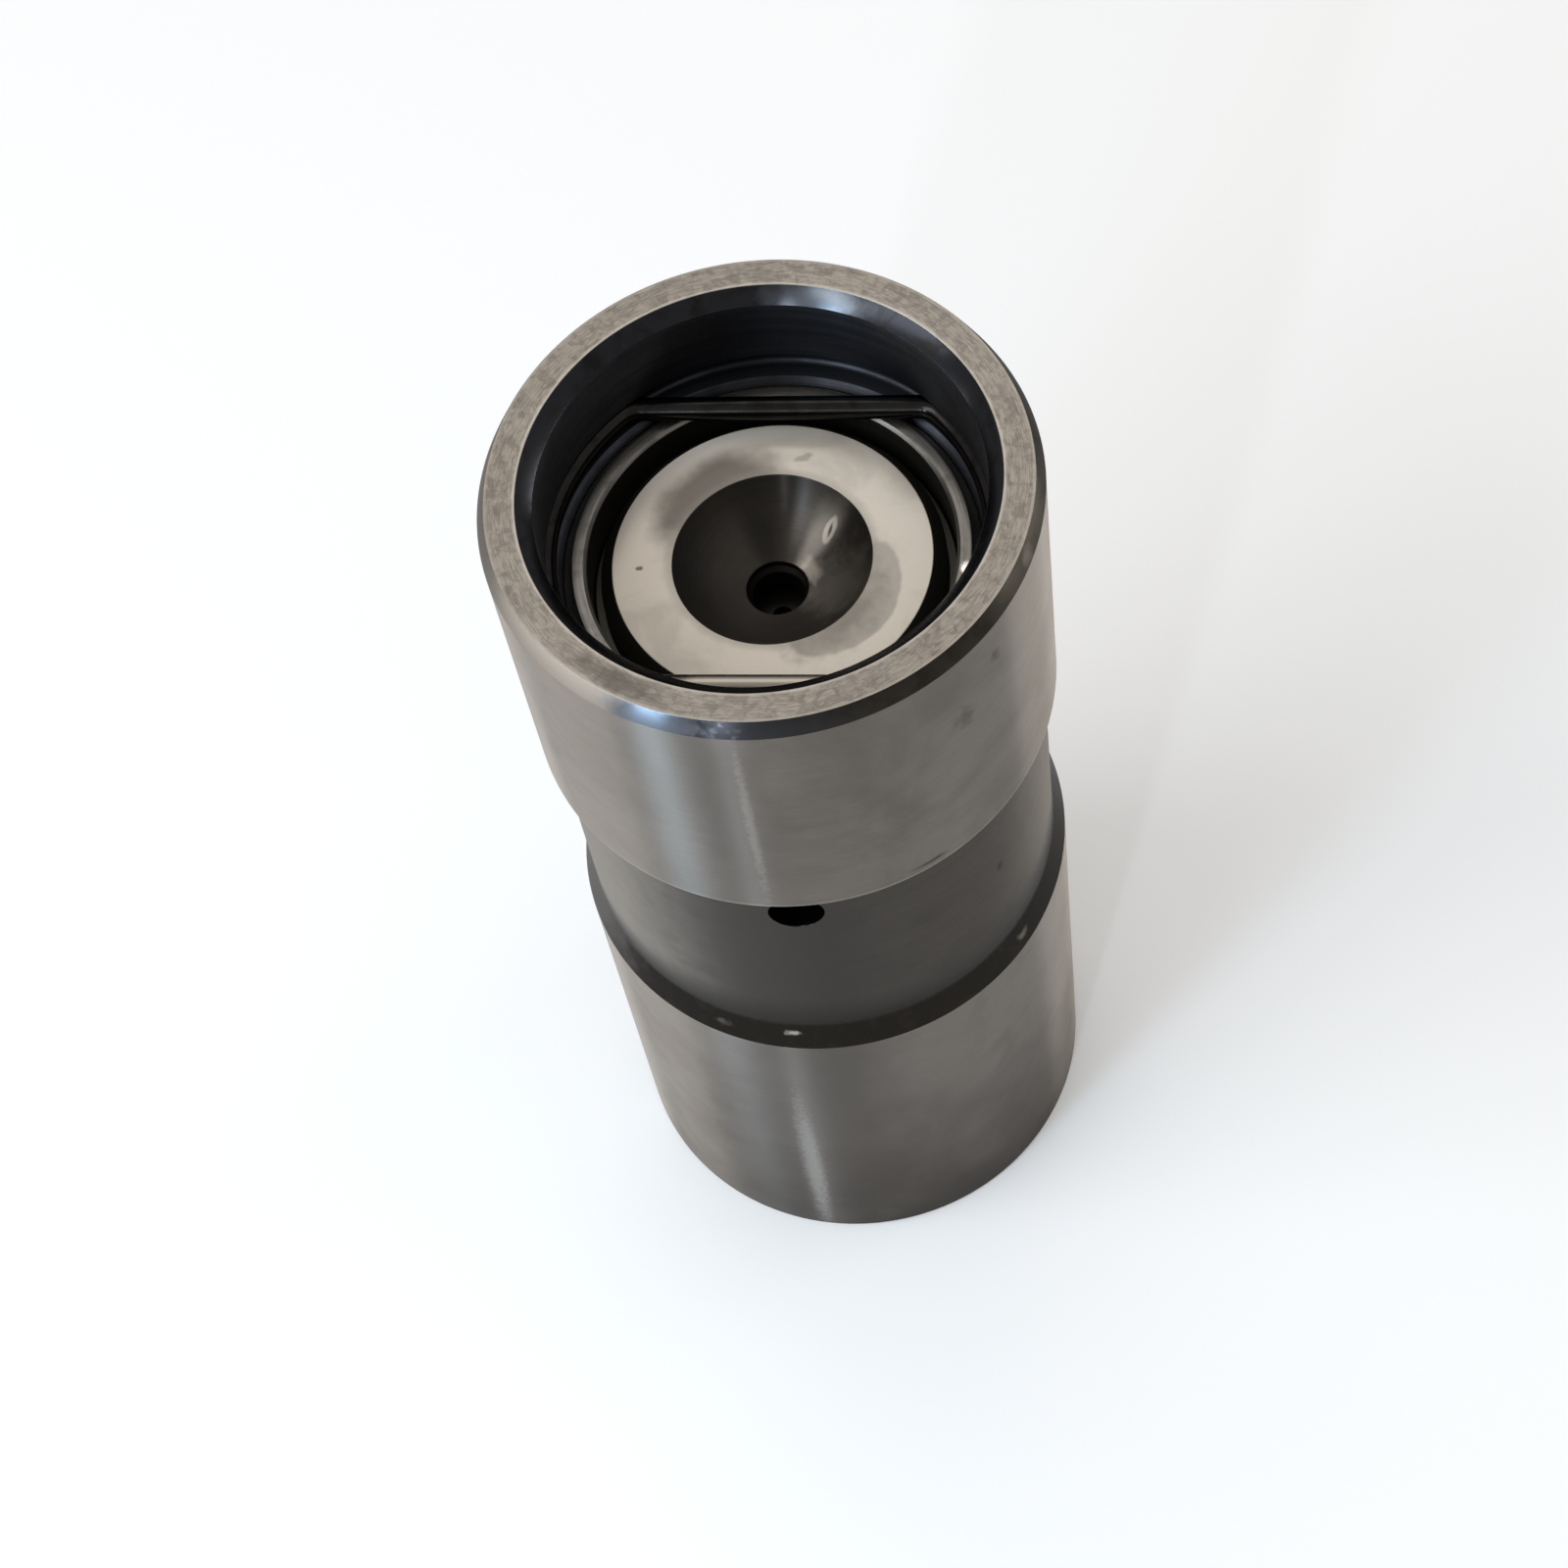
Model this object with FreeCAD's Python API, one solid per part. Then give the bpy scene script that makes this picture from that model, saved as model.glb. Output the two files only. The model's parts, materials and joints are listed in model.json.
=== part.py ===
import FreeCAD, Part
import math
import os

# Hydraulic flat-foot valve lifter, standing on its cam face. Millimetres.
# The origin is the centre of the cam face, +Z runs up the axis to the pushrod end,
# and the oil feed hole looks towards -Y.

# Lifter body, outside
body_diameter = 22.96
body_length = 51.6
foot_chamfer = 0.22
lower_land = 22.2
upper_land = 14.88
oil_band_depth = 0.55
lower_shoulder = 1.4
upper_shoulder = 0.6
shoulder_rounding = 0.9
rim_chamfer_width = 0.37
rim_chamfer_height = 0.76
feed_hole_diameter = 2.44
feed_hole_drop = 1.77

# Lifter body, inside
floor_thickness = 5.0
floor_rounding = 0.8
pocket_step = 1.05
bore_lead_in = 0.3
mouth_relief = 0.45
mouth_chamfer_width = 0.64
mouth_chamfer_height = 0.6

# Retaining clip and its groove
clip_wire = 1.0
clip_groove_drop = 4.0
clip_groove_depth = 0.7
clip_groove_play = 0.3
clip_side_gap = 0.05
clip_rim_overlap = 1.89
clip_bend = 1.2
clip_turn = -3.0
clip_opening_centre = -12.0
clip_opening = 18.0

# Plunger
plunger_diameter = 17.44
plunger_length = 28.6
plunger_clearance = 0.03
plunger_clip_gap = 0.06
plunger_travel = 4.0
plunger_stop_gap = 0.1
plunger_chamfer_width = 0.42
plunger_chamfer_height = 0.5
plunger_inner_chamfer = 0.14
plunger_foot_chamfer = 0.4
oil_groove_depth = 0.52
oil_groove_margin = 0.3
inlet_hole_diameter = 1.8
reservoir_diameter = 12.4
plunger_floor = 3.4
reservoir_rounding = 0.9
valve_hole_diameter = 3.0
spigot_height = 0.7
spigot_wall = 0.4

# Pushrod seat
seat_drop = 0.5
seat_height = 4.5
seat_clearance = 0.06
seat_pocket_wall = 1.02
seat_neck_gap = 0.45
seat_ring_chamfer_width = 0.57
seat_ring_chamfer_height = 0.7
seat_neck_height = 1.7
pushrod_ball_diameter = 9.525
socket_clearance = 0.03
socket_depth = 2.467
seat_hole_diameter = 2.2
seat_hole_mouth_diameter = 2.62
seat_hole_mouth_depth = 0.3
seat_recess_diameter = 10.8
seat_recess_depth = 0.8

# Metering disc
disc_thickness = 0.35
disc_clearance = 0.15
disc_orifice_diameter = 0.9

# Check valve
ball_diameter = 4.76
ball_seat_gap = 0.04
ball_travel = 0.35
ball_stop_gap = 0.05
cage_sheet = 0.4
cage_fit = 0.05
cage_ball_gap = 0.27
cage_flange_clearance = 0.5
cage_spring_room = 1.0
cage_bend = 0.45
cage_window_count = 4
cage_window_width = 1.6
cage_window_sill = 0.35
cage_window_head = 0.7
ball_spring_wire = 0.25
ball_spring_top_diameter = 2.6
ball_spring_foot_diameter = 3.8
ball_spring_gap = 0.03
ball_spring_pitch = 0.56

# Return spring
spring_wire = 1.3
spring_pocket_gap = 0.75
spring_pitch = 2.55

# Ground ends of a spring, as shares of its wire: the height of the tip's centre
# above the ground face, and the slow rise over the first turn.
spring_tip_height = 0.25
spring_end_rise = 0.12
spring_points_per_turn = 16
spring_spans_per_turn = 2

# Heights and radii that follow from the sizes above
body_radius = body_diameter / 2
band_radius = body_radius - oil_band_depth
band_top = body_length - upper_land
feed_hole_height = band_top - feed_hole_drop
plunger_radius = plunger_diameter / 2
bore_radius = plunger_radius + plunger_clearance
mouth_radius = bore_radius + mouth_relief
groove_radius = mouth_radius + clip_groove_depth
groove_top = body_length - clip_groove_drop
groove_bottom = groove_top - clip_wire - clip_groove_play
clip_height = groove_top - clip_side_gap - clip_wire / 2
clip_arc_radius = groove_radius - clip_side_gap - clip_wire / 2
plunger_top = clip_height - clip_wire / 2 - plunger_clip_gap
plunger_bottom = plunger_top - plunger_length
stop_height = plunger_bottom - plunger_travel - plunger_stop_gap
pocket_radius = bore_radius - pocket_step
spring_radius = pocket_radius - spring_pocket_gap - spring_wire / 2
seat_pocket_radius = plunger_radius - seat_pocket_wall
seat_face = plunger_top - seat_drop
seat_bottom = seat_face - seat_height
seat_ledge = seat_bottom - disc_thickness
oil_groove_top = feed_hole_height + feed_hole_diameter / 2 + plunger_travel + oil_groove_margin
oil_groove_bottom = feed_hole_height - feed_hole_diameter / 2 - oil_groove_margin
ball_radius = ball_diameter / 2
valve_radius = valve_hole_diameter / 2
cage_radius = ball_radius + cage_ball_gap
cage_flange_radius = pocket_radius - cage_flange_clearance
spigot_radius = cage_radius - cage_fit
spigot_end = plunger_bottom - spigot_height
seat_cone_radius = spigot_radius - spigot_wall
seat_cone_top = spigot_end + seat_cone_radius - valve_radius
# The 45 degree seat cone touches the ball at its own 45 degree circle.
ball_height = seat_cone_top + valve_radius - (ball_radius + ball_seat_gap) * math.sqrt(2)
cage_stop_height = ball_height - ball_radius - ball_travel - ball_stop_gap
cage_floor = cage_stop_height - cage_spring_room
cage_flange_foot = plunger_bottom - cage_sheet


def rounded_face(corners):
    # Closed outline in the XZ plane. A corner is radius, height, rounding.
    spots = [FreeCAD.Vector(radius, 0, height) for radius, height, rounding in corners]
    bends = []
    for number, corner in enumerate(corners):
        here = spots[number]
        rounding = corner[2]
        if rounding == 0:
            bends.append((here, None, here))
            continue
        back = spots[number - 1] - here
        ahead = spots[(number + 1) % len(spots)] - here
        half_angle = back.getAngle(ahead) / 2
        reach = min(rounding / math.tan(half_angle), 0.45 * back.Length, 0.45 * ahead.Length)
        bend_radius = reach * math.tan(half_angle)
        back.normalize()
        ahead.normalize()
        inward = back + ahead
        inward.normalize()
        middle = here + inward * (bend_radius / math.sin(half_angle) - bend_radius)
        bends.append((here + back * reach, middle, here + ahead * reach))
    edges = []
    for number, (start, middle, end) in enumerate(bends):
        if middle is not None:
            edges.append(Part.Arc(start, middle, end).toShape())
        following = bends[(number + 1) % len(bends)][0]
        edges.append(Part.LineSegment(end, following).toShape())
    return Part.Face(Part.Wire(edges))


def turned(corners):
    # A full turn of an outline about the lifter's axis.
    return rounded_face(corners).revolve(FreeCAD.Vector(0, 0, 0), FreeCAD.Vector(0, 0, 1), 360)


def cross_hole(diameter, height, start, end):
    # A drill along Y at one height, from one Y to another.
    return Part.makeCylinder(
        diameter / 2,
        end - start,
        FreeCAD.Vector(0, start, height),
        FreeCAD.Vector(0, 1, 0),
    )


def make_lifter_body():
    outside = [
        (0, 0, 0),
        (body_radius - foot_chamfer, 0, 0),
        (body_radius, foot_chamfer, 0),
        (body_radius, lower_land, 0),
        (band_radius, lower_land + lower_shoulder, shoulder_rounding),
        (band_radius, band_top - upper_shoulder, shoulder_rounding),
        (body_radius, band_top, 0),
        (body_radius, body_length - rim_chamfer_height, 0),
        (body_radius - rim_chamfer_width, body_length, 0),
    ]
    inside = [
        (mouth_radius + mouth_chamfer_width, body_length, 0),
        (mouth_radius, body_length - mouth_chamfer_height, 0),
        (mouth_radius, groove_top, 0),
        (groove_radius, groove_top, clip_wire / 4),
        (groove_radius, groove_bottom, clip_wire / 4),
        (bore_radius + bore_lead_in, groove_bottom, 0),
        (bore_radius, groove_bottom - bore_lead_in, 0),
        (bore_radius, stop_height, 0),
        (pocket_radius, stop_height, 0),
        (pocket_radius, floor_thickness, floor_rounding),
        (0, floor_thickness, 0),
    ]
    feed_hole = cross_hole(feed_hole_diameter, feed_hole_height, -body_diameter, -pocket_radius)
    return turned(outside + inside).cut(feed_hole)


def make_plunger():
    pocket = [
        (seat_pocket_radius + plunger_inner_chamfer, plunger_top, 0),
        (seat_pocket_radius, plunger_top - plunger_inner_chamfer, 0),
        (seat_pocket_radius, seat_ledge, 0),
        (reservoir_diameter / 2, seat_ledge, 0),
        (reservoir_diameter / 2, plunger_bottom + plunger_floor, reservoir_rounding),
        (valve_radius, plunger_bottom + plunger_floor, 0),
        (valve_radius, seat_cone_top, 0),
    ]
    foot = [
        (seat_cone_radius, spigot_end, 0),
        (spigot_radius, spigot_end, 0),
        (spigot_radius, plunger_bottom, 0),
        (plunger_radius - plunger_foot_chamfer, plunger_bottom, 0),
        (plunger_radius, plunger_bottom + plunger_foot_chamfer, 0),
    ]
    side = [
        (plunger_radius, oil_groove_bottom, 0),
        (plunger_radius - oil_groove_depth, oil_groove_bottom + oil_groove_depth / 2, 0),
        (plunger_radius - oil_groove_depth, oil_groove_top - oil_groove_depth / 2, 0),
        (plunger_radius, oil_groove_top, 0),
        (plunger_radius, plunger_top - plunger_chamfer_height, 0),
        (plunger_radius - plunger_chamfer_width, plunger_top, 0),
    ]
    inlet_height = (oil_groove_top + oil_groove_bottom) / 2
    inlet = cross_hole(inlet_hole_diameter, inlet_height, 0, plunger_diameter)
    return turned(pocket + foot + side).cut(inlet)


def make_pushrod_seat():
    socket_radius = pushrod_ball_diameter / 2 + socket_clearance
    socket_centre = seat_face - socket_depth + socket_radius
    mouth_height = socket_centre - math.sqrt(socket_radius ** 2 - (seat_hole_mouth_diameter / 2) ** 2)
    hole_step = (seat_hole_mouth_diameter - seat_hole_diameter) / 2
    neck_radius = seat_pocket_radius - seat_neck_gap
    outline = [
        (0, seat_face, 0),
        (neck_radius - seat_ring_chamfer_width, seat_face, 0),
        (neck_radius, seat_face - seat_ring_chamfer_height, 0),
        (neck_radius, seat_face - seat_neck_height, 0),
        (seat_pocket_radius - seat_clearance, seat_face - seat_neck_height, 0),
        (seat_pocket_radius - seat_clearance, seat_bottom, 0),
        (seat_recess_diameter / 2, seat_bottom, 0),
        (seat_recess_diameter / 2 - seat_recess_depth, seat_bottom + seat_recess_depth, 0),
        (0, seat_bottom + seat_recess_depth, 0),
    ]
    drill = [
        (0, socket_centre, 0),
        (seat_hole_mouth_diameter / 2, socket_centre, 0),
        (seat_hole_mouth_diameter / 2, mouth_height - seat_hole_mouth_depth, 0),
        (seat_hole_diameter / 2, mouth_height - seat_hole_mouth_depth - hole_step, 0),
        (seat_hole_diameter / 2, seat_bottom, 0),
        (0, seat_bottom, 0),
    ]
    socket = Part.makeSphere(socket_radius, FreeCAD.Vector(0, 0, socket_centre))
    return turned(outline).cut(socket).cut(turned(drill))


def make_metering_disc():
    disc_radius = seat_pocket_radius - disc_clearance
    return turned([
        (disc_orifice_diameter / 2, seat_ledge, 0),
        (disc_radius, seat_ledge, 0),
        (disc_radius, seat_bottom, 0),
        (disc_orifice_diameter / 2, seat_bottom, 0),
    ])


def make_retaining_clip():
    # Half of the clip's line, from the middle of its right arc to the middle of its left:
    # right arc, bend, straight across the mouth, bend, left arc.
    flat_offset = plunger_radius - clip_rim_overlap
    bend_centre_y = flat_offset - clip_bend
    bend_centre_x = math.sqrt((clip_arc_radius - clip_bend) ** 2 - bend_centre_y ** 2)
    bend_angle = math.atan2(bend_centre_y, bend_centre_x)
    bend_middle_angle = (bend_angle + math.pi / 2) / 2
    opening_from = math.radians(clip_opening_centre - clip_opening / 2)
    opening_to = math.radians(clip_opening_centre + clip_opening / 2)

    def on_arc(angle):
        return FreeCAD.Vector(clip_arc_radius * math.cos(angle), clip_arc_radius * math.sin(angle), 0)

    def arc_edge(start, end):
        return Part.Arc(on_arc(start), on_arc((start + end) / 2), on_arc(end)).toShape()

    def bend_edge(side_x, side_y):
        # From the arc to the straight, in the quarter that the two signs give.
        centre = FreeCAD.Vector(side_x * bend_centre_x, side_y * bend_centre_y, 0)
        across = FreeCAD.Vector(
            side_x * math.cos(bend_middle_angle),
            side_y * math.sin(bend_middle_angle),
            0,
        )
        arc_end = FreeCAD.Vector(side_x * on_arc(bend_angle).x, side_y * on_arc(bend_angle).y, 0)
        flat_end = FreeCAD.Vector(side_x * bend_centre_x, side_y * flat_offset, 0)
        return Part.Arc(arc_end, centre + across * clip_bend, flat_end).toShape()

    def flat_edge(side_y):
        start = FreeCAD.Vector(bend_centre_x, side_y * flat_offset, 0)
        end = FreeCAD.Vector(-bend_centre_x, side_y * flat_offset, 0)
        return Part.LineSegment(start, end).toShape()

    line = Part.Wire([
        arc_edge(opening_to, bend_angle),
        bend_edge(1, 1),
        flat_edge(1),
        bend_edge(-1, 1),
        arc_edge(math.pi - bend_angle, math.pi + bend_angle),
        bend_edge(-1, -1),
        flat_edge(-1),
        bend_edge(1, -1),
        arc_edge(-bend_angle, opening_from),
    ])
    along_arc = FreeCAD.Vector(-math.sin(opening_to), math.cos(opening_to), 0)
    section = Part.Wire([Part.Circle(on_arc(opening_to), along_arc, clip_wire / 2).toShape()])
    clip = line.makePipeShell([section], True, True)
    clip.rotate(FreeCAD.Vector(0, 0, 0), FreeCAD.Vector(0, 0, 1), clip_turn)
    clip.translate(FreeCAD.Vector(0, 0, clip_height))
    return clip


def make_spring(foot_radius, top_radius, wire, pitch, low, high):
    # Closed and ground at both ends. Each end turn rises slowly at first and meets the
    # active turns at their own pitch. The length sets how many active turns there are.
    end_curve = (pitch / wire - spring_end_rise) / 2
    end_height = wire * (spring_tip_height + spring_end_rise + end_curve)
    turns = 2 + (high - low - 2 * end_height) / pitch

    def rise(turn):
        if turn < 1:
            return wire * (spring_tip_height + spring_end_rise * turn + end_curve * turn ** 2)
        return end_height + (turn - 1) * pitch

    steps = round(turns * spring_points_per_turn)
    points = []
    for step in range(steps + 1):
        turn = turns * step / steps
        height = low + rise(turn) if turn <= turns / 2 else high - rise(turns - turn)
        radius = foot_radius + (top_radius - foot_radius) * turn / turns
        angle = 2 * math.pi * turn
        points.append(FreeCAD.Vector(radius * math.cos(angle), radius * math.sin(angle), height))
    line = Part.BSplineCurve()
    line.interpolate(points)
    # The line's knots are its points, and it is swept in spans of a part of a turn.
    knots = line.getKnots()
    span = spring_points_per_turn // spring_spans_per_turn
    cuts = knots[:-1:span] + knots[-1:]
    spans = [line.toShape(start, end) for start, end in zip(cuts, cuts[1:])]
    start_direction = line.tangent(line.FirstParameter)[0]
    section = Part.Wire([Part.Circle(points[0], start_direction, wire / 2).toShape()])
    sweep = Part.BRepOffsetAPI.MakePipeShell(Part.Wire(spans))
    sweep.setBiNormalMode(FreeCAD.Vector(0, 0, 1))
    sweep.add(section, False, False)
    sweep.build()
    sweep.makeSolid()
    between_faces = Part.makeCylinder(
        foot_radius + top_radius,
        high - low,
        FreeCAD.Vector(0, 0, low),
    )
    return sweep.shape().common(between_faces)


def make_check_ball():
    return Part.makeSphere(ball_radius, FreeCAD.Vector(0, 0, ball_height))


def make_check_ball_cage():
    # One drawn and pierced sheet: flange, cup with windows, and a stop pressed up from
    # the cup's floor.
    stop_radius = (ball_spring_top_diameter - 2 * ball_spring_wire) / 2 - cage_sheet
    outer_radius = cage_radius + cage_sheet
    cage = turned([
        (0, cage_stop_height, 0),
        (stop_radius, cage_stop_height, cage_bend),
        (stop_radius + cage_sheet / 2, cage_floor, 0),
        (cage_radius, cage_floor, cage_bend),
        (cage_radius, plunger_bottom, 0),
        (cage_flange_radius, plunger_bottom, 0),
        (cage_flange_radius, cage_flange_foot, 0),
        (outer_radius, cage_flange_foot, cage_bend),
        (outer_radius, cage_floor - cage_sheet, cage_bend),
        (stop_radius - cage_sheet / 2, cage_floor - cage_sheet, 0),
        (0, cage_stop_height - cage_sheet, 0),
    ])
    window_low = cage_floor + cage_bend + cage_window_sill
    window_high = cage_flange_foot - cage_window_head
    window = Part.makeBox(
        2 * outer_radius,
        cage_window_width,
        window_high - window_low,
        FreeCAD.Vector(0, -cage_window_width / 2, window_low),
    )
    for number in range(cage_window_count):
        opening = window.copy()
        opening.rotate(FreeCAD.Vector(0, 0, 0), FreeCAD.Vector(0, 0, 1), 360 * number / cage_window_count)
        cage = cage.cut(opening)
    return cage


def make_check_ball_spring():
    # The ball rests on the inner edge of the top turn.
    touch_radius = (ball_spring_top_diameter - ball_spring_wire) / 2
    top = ball_height - math.sqrt(ball_radius ** 2 - touch_radius ** 2) - ball_spring_gap
    return make_spring(
        ball_spring_foot_diameter / 2,
        ball_spring_top_diameter / 2,
        ball_spring_wire,
        ball_spring_pitch,
        cage_floor,
        top,
    )


def make_plunger_spring():
    return make_spring(
        spring_radius,
        spring_radius,
        spring_wire,
        spring_pitch,
        floor_thickness,
        cage_flange_foot,
    )


nodes = {
    "lifter_body": make_lifter_body(),
    "retaining_clip": make_retaining_clip(),
    "plunger": make_plunger(),
    "pushrod_seat": make_pushrod_seat(),
    "metering_disc": make_metering_disc(),
    "check_ball": make_check_ball(),
    "check_ball_cage": make_check_ball_cage(),
    "check_ball_spring": make_check_ball_spring(),
    "plunger_spring": make_plunger_spring(),
}

os.makedirs("parts", exist_ok=True)
for name, shape in nodes.items():
    shape.exportStep("parts/" + name + ".step")
    print(name, "valid" if shape.isValid() else "not valid", round(shape.Volume, 3), "mm3")
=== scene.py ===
import json
import math

import bmesh
import bpy
from mathutils import Matrix, Vector

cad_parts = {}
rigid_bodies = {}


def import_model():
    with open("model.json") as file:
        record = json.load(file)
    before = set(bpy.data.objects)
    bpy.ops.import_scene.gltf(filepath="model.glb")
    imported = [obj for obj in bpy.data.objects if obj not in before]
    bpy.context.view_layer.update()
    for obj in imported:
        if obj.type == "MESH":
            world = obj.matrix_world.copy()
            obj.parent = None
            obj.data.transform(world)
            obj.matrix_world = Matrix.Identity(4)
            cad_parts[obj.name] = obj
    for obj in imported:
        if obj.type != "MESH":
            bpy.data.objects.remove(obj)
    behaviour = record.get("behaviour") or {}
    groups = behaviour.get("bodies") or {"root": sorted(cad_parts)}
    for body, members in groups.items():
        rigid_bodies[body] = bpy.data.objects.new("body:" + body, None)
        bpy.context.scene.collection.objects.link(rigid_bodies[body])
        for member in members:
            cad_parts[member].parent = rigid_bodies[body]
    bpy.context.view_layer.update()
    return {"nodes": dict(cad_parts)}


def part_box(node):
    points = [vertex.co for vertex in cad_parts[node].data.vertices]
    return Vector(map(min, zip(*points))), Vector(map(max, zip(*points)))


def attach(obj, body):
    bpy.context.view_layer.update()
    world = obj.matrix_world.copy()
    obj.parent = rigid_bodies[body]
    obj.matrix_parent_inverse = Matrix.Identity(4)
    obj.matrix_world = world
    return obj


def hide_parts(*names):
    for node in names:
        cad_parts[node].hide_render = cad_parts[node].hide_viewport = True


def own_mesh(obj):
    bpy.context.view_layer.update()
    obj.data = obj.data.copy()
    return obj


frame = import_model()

# The frame is in metres. Sizes here are millimetres, and a finished mesh is brought down by mm.
mm = 0.001
fullTurn = 2 * math.pi
print("frame loaded:", len(frame["nodes"]), "nodes")

# Camera, floor and lights

cameraSetup = {
    "place": (12.530, -73.306, 157.759),
    "target": (-1.561, 0.564, 25.8),
    "roll": 11.802,  # degrees, the lifter leans to the left in the picture
    "lens": 74.27,
    "sensor": 36,
    "clipStart": 5,
}

stageSetup = {
    "floorSize": 6000,
    "floorColour": (0.95, 0.95, 0.95),
    "floorRoughness": 0.9,
    "worldColour": (1.0, 0.985, 0.965),
    "worldStrength": 0.5,
    "backdropLift": 0.07,  # added to the floor as the camera, metal and glass see it
}

# turn is the compass direction from the lifter in degrees, away and height place the lamp's middle,
# and aim is the height on the lifter's axis that it faces
lampSetup = [
    {"name": "windowWide", "turn": -127, "away": 75, "height": 71, "aim": 71, "size": (12, 50),
     "watts": 0.024, "colour": (0.55, 0.78, 1.0)},
    {"name": "windowHigh", "turn": -152, "away": 400, "height": 405, "aim": 25, "size": (420, 240),
     "watts": 1.25, "colour": (0.9, 0.95, 1.0)},
    {"name": "windowNarrow", "turn": -106, "away": 600, "height": 200, "aim": 200, "size": (28, 400),
     "watts": 0.78, "colour": (0.8, 0.9, 1.0)},
    {"name": "softLeft", "turn": -166, "away": 700, "height": 62, "aim": 62, "size": (620, 120),
     "watts": 2.5, "colour": (1.0, 0.99, 0.97)},
    {"name": "softRight", "turn": 12, "away": 700, "height": 62, "aim": 62, "size": (455, 120),
     "watts": 2.1, "colour": (1.0, 0.97, 0.93)},
    {"name": "softRear", "turn": 27, "away": 700, "height": 62, "aim": 62, "size": (247, 120),
     "watts": 0.8, "colour": (1.0, 0.97, 0.93)},
    {"name": "overhead", "turn": 98, "away": 350, "height": 620, "aim": 25, "size": (420, 420),
     "watts": 0.55, "colour": (1.0, 0.97, 0.93)},
]


def plug(tree, socket, value):
    # an input is linked to another node's socket, or set to a value
    if isinstance(value, bpy.types.NodeSocket):
        tree.links.new(value, socket)
    else:
        socket.default_value = value


def put(tree, kind, inputs=None, **settings):
    # a node with its settings and inputs
    node = tree.nodes.new(kind)
    for key, value in settings.items():
        setattr(node, key, value)
    for key, value in (inputs or {}).items():
        plug(tree, node.inputs[key], value)
    return node


def calc(tree, operation, first, second=0.0, third=0.0):
    return put(tree, "ShaderNodeMath", {0: first, 1: second, 2: third}, operation=operation).outputs[0]


def makeCamera():
    data = bpy.data.cameras.new("camera")
    data.lens = cameraSetup["lens"]
    data.sensor_width = cameraSetup["sensor"]
    data.clip_start = cameraSetup["clipStart"] * mm
    camera = bpy.data.objects.new("camera", data)
    place = Vector(cameraSetup["place"]) * mm
    sight = Vector(cameraSetup["target"]) * mm - place
    facing = sight.to_track_quat("-Z", "Y").to_matrix().to_4x4()
    camera.matrix_world = facing
    camera.location = place
    camera.rotation_euler.rotate_axis("Z", -math.radians(cameraSetup["roll"]))
    bpy.context.scene.collection.objects.link(camera)
    bpy.context.scene.camera = camera


def makeStage():
    bm = bmesh.new()
    bmesh.ops.create_grid(bm, x_segments=1, y_segments=1, size=stageSetup["floorSize"] * mm / 2)
    mesh = bpy.data.meshes.new("floor")
    bm.to_mesh(mesh)
    bm.free()
    material = bpy.data.materials.new("paleFloor")
    material.use_nodes = True
    shader = material.node_tree.nodes["Principled BSDF"]
    shader.inputs["Base Color"].default_value = (*stageSetup["floorColour"], 1)
    shader.inputs["Roughness"].default_value = stageSetup["floorRoughness"]
    shader.inputs["Specular IOR Level"].default_value = 0.0
    shader.inputs["Emission Color"].default_value = (1, 1, 1, 1)
    tree = material.node_tree
    rays = tree.nodes.new("ShaderNodeLightPath").outputs
    mirrored = calc(tree, "MAXIMUM", rays["Is Glossy Ray"], rays["Is Transmission Ray"])
    seen = calc(tree, "MAXIMUM", rays["Is Camera Ray"], mirrored)
    lift = calc(tree, "MULTIPLY", seen, stageSetup["backdropLift"])
    tree.links.new(lift, shader.inputs["Emission Strength"])
    mesh.materials.append(material)
    floor = bpy.data.objects.new("floor", mesh)
    bpy.context.scene.collection.objects.link(floor)
    world = bpy.data.worlds.new("studio")
    world.use_nodes = True
    sky = world.node_tree.nodes["Background"]
    sky.inputs["Color"].default_value = (*stageSetup["worldColour"], 1)
    sky.inputs["Strength"].default_value = stageSetup["worldStrength"]
    bpy.context.scene.world = world


def makeLamps():
    for setup in lampSetup:
        data = bpy.data.lights.new(setup["name"], "AREA")
        data.shape = "RECTANGLE"
        data.size = setup["size"][0] * mm
        data.size_y = setup["size"][1] * mm
        data.energy = setup["watts"]
        data.color = setup["colour"]
        turn = math.radians(setup["turn"])
        place = Vector((math.cos(turn), math.sin(turn), 0)) * setup["away"] * mm
        place.z = setup["height"] * mm
        aim = Vector((0, 0, setup["aim"] * mm)) - place
        lamp = bpy.data.objects.new(setup["name"], data)
        lamp.location = place
        lamp.rotation_euler = aim.to_track_quat("-Z", "Y").to_euler()
        lamp.visible_camera = False
        bpy.context.scene.collection.objects.link(lamp)


makeCamera()
makeStage()
makeLamps()
bpy.context.scene.view_settings.view_transform = "Standard"
print("camera, floor and lamps placed")

# Shader node groups, in millimetres of the lifter's own frame


def vectorCalc(tree, operation, first, second=(0, 0, 0), scale=1.0):
    inputs = {0: first, 1: second, 3: scale}
    outputs = put(tree, "ShaderNodeVectorMath", inputs, operation=operation).outputs
    return outputs["Value" if operation == "LENGTH" else "Vector"]


def combine(tree, first=0.0, second=0.0, third=0.0):
    return put(tree, "ShaderNodeCombineXYZ", {0: first, 1: second, 2: third}).outputs[0]


def spread(tree, value, low, high):
    # 0 at low, 1 at high, smooth between
    inputs = {"Value": value, "From Min": low, "From Max": high}
    return put(tree, "ShaderNodeMapRange", inputs, interpolation_type="SMOOTHSTEP").outputs["Result"]


def blendColour(tree, mask, under, over):
    # a Mix node keeps its colours in inputs 6 and 7 and in output 2
    return put(tree, "ShaderNodeMix", {0: mask, 6: under, 7: over}, data_type="RGBA").outputs[2]


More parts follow.
